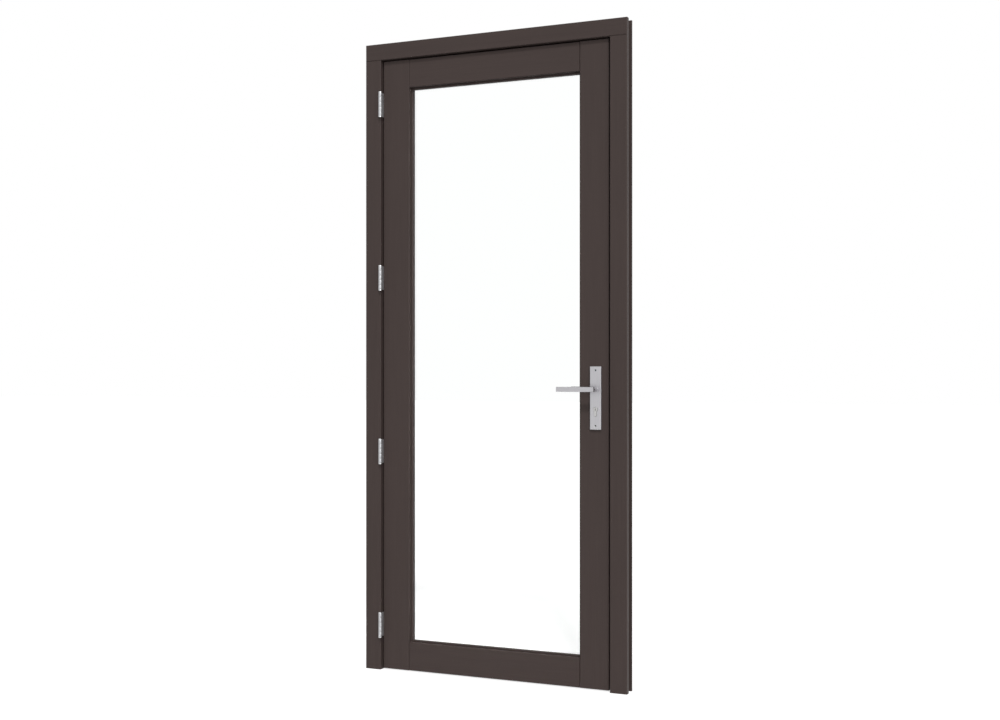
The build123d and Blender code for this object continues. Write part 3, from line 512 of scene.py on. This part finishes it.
def screws(node, body, inward, drive, shank_share):
    """One piece with all the screws of a node; inward points from the head along the shank."""
    work = bmesh.new()
    axis = Vector(inward)
    turn = Vector((0, 0, 1)).rotation_difference(axis).to_matrix().to_4x4()
    along = max(range(3), key=lambda number: abs(axis[number]))
    across = (along + 1) % 3
    for low, high in islands(node):
        at = (low + high) / 2
        at[along] = low[along] if axis[along] > 0 else high[along]
        head = (high[across] - low[across]) / 2
        spin = Matrix.Rotation(SPIN_PER_METRE * at.length, 4, "Z")
        screw_mesh(work, Matrix.Translation(at) @ turn @ spin, head, head * shank_share,
                   high[along] - low[along], drive)
    bmesh.ops.recalc_face_normals(work, faces=work.faces)
    mesh = bpy.data.meshes.new(node + "_turned")
    work.to_mesh(mesh)
    work.free()
    mesh.materials.append(ZINC_PLATE)
    # Second material: painted shade in the deep part of each recess
    mesh.materials.append(RECESS_PAINTED_SHADE)
    mesh.shade_smooth()
    mesh.set_sharp_from_angle(angle=SMOOTH_UNDER)
    add_piece(node + "_turned", mesh, body, node)


# Backplates whose cut-out leaves a small gap round the key cylinder, as cast plates have

def away_from_cylinder(x, z):
    """Direction out of the cylinder at a point of the cut-out's wall, or None elsewhere."""
    low = z + STEM_DROP
    if low < 0 and math.hypot(x, low) < STEM_REACH:
        return Vector((x, 0, low)).normalized()
    if low >= 0 and abs(x) < STEM_REACH and z < -STEM_TOP:
        return Vector((math.copysign(1, x), 0, 0))
    if math.hypot(x, z) < PLUG_REACH:
        return Vector((x, 0, z)).normalized()
    return None


def open_cut_out(node):
    mesh = NODES[node].data.copy()
    for vert in mesh.vertices:
        away = away_from_cylinder(vert.co.x - CYLINDER_X, vert.co.z - CYLINDER_Z)
        if away is not None:
            vert.co += away * CUT_OUT_GAP
    add_piece(node + "_cast", mesh, "leaf", node)


# Softly rounded edges, as sanding, casting and grinding leave them

def round_edges(node):
    piece = NODES[node]
    weld = piece.modifiers.new("weld", "WELD")
    weld.merge_threshold = WELD_GAP
    bevel = piece.modifiers.new("edges", "BEVEL")
    bevel.width = EDGE_WIDTH
    bevel.segments = EDGE_SEGMENTS
    bevel.limit_method = "ANGLE"
    bevel.angle_limit = EDGE_ANGLE
    bevel.harden_normals = True
    bevel.use_clamp_overlap = True


# Stage

def make_floor():
    work = bmesh.new()
    bmesh.ops.create_grid(work, x_segments=1, y_segments=1, size=FLOOR_REACH)
    mesh = bpy.data.meshes.new("floor")
    work.to_mesh(mesh)
    work.free()
    floor = bpy.data.objects.new("floor", mesh)
    bpy.context.scene.collection.objects.link(floor)
    material = bpy.data.materials.new("floor_white")
    material.use_nodes = True
    tree = material.node_tree
    tree.nodes.clear()
    glow = math_node(tree, "MULTIPLY", seen_directly(tree), FLOOR_GLOW)
    matt = add_node(tree, "BsdfDiffuse", Color=FLOOR_COLOUR)
    shine = add_node(tree, "Emission", Color=WHITE, Strength=glow)
    both = add_node(tree, "AddShader", i0=matt.outputs[0], i1=shine.outputs[0])
    add_node(tree, "OutputMaterial", Surface=both.outputs[0])
    mesh.materials.append(material)


def make_world():
    world = bpy.data.worlds.new("studio")
    world.use_nodes = True
    tree = world.node_tree
    tree.nodes.clear()
    strength = ramp(tree, seen_directly(tree), 0, 1, AMBIENT, 1.0)
    sky = add_node(tree, "Background", Color=WHITE, Strength=strength)
    add_node(tree, "OutputWorld", Surface=sky.outputs[0])
    bpy.context.scene.world = world


def make_lamp(name, source, strength, angle):
    data = bpy.data.lights.new(name, "SUN")
    data.angle = angle
    data.energy = strength
    lamp = bpy.data.objects.new(name, data)
    lamp.rotation_euler = (-Vector(source)).to_track_quat("-Z", "Y").to_euler()
    bpy.context.scene.collection.objects.link(lamp)


def make_camera():
    data = bpy.data.cameras.new("camera")
    data.lens = CAMERA_LENS
    data.sensor_width = CAMERA_SENSOR
    data.shift_y = CAMERA_SHIFT_Y
    camera = bpy.data.objects.new("camera", data)
    camera.location = CAMERA_PLACE
    camera.rotation_euler = (math.pi / 2, 0, CAMERA_TURN)
    bpy.context.scene.collection.objects.link(camera)
    bpy.context.scene.camera = camera


give_looks()
for node, (body, inward, drive, shank_share) in SCREWS.items():
    screws(node, body, inward, drive, shank_share)
for node in LOOKS[PLATE_STEEL]:
    open_cut_out(node)
for node in ROUNDED:
    round_edges(node)
make_floor()
make_world()
make_lamp("high_lamp", **HIGH_LAMP)
make_lamp("low_lamp", **LOW_LAMP)
make_camera()
bpy.context.scene.view_settings.view_transform = "Standard"
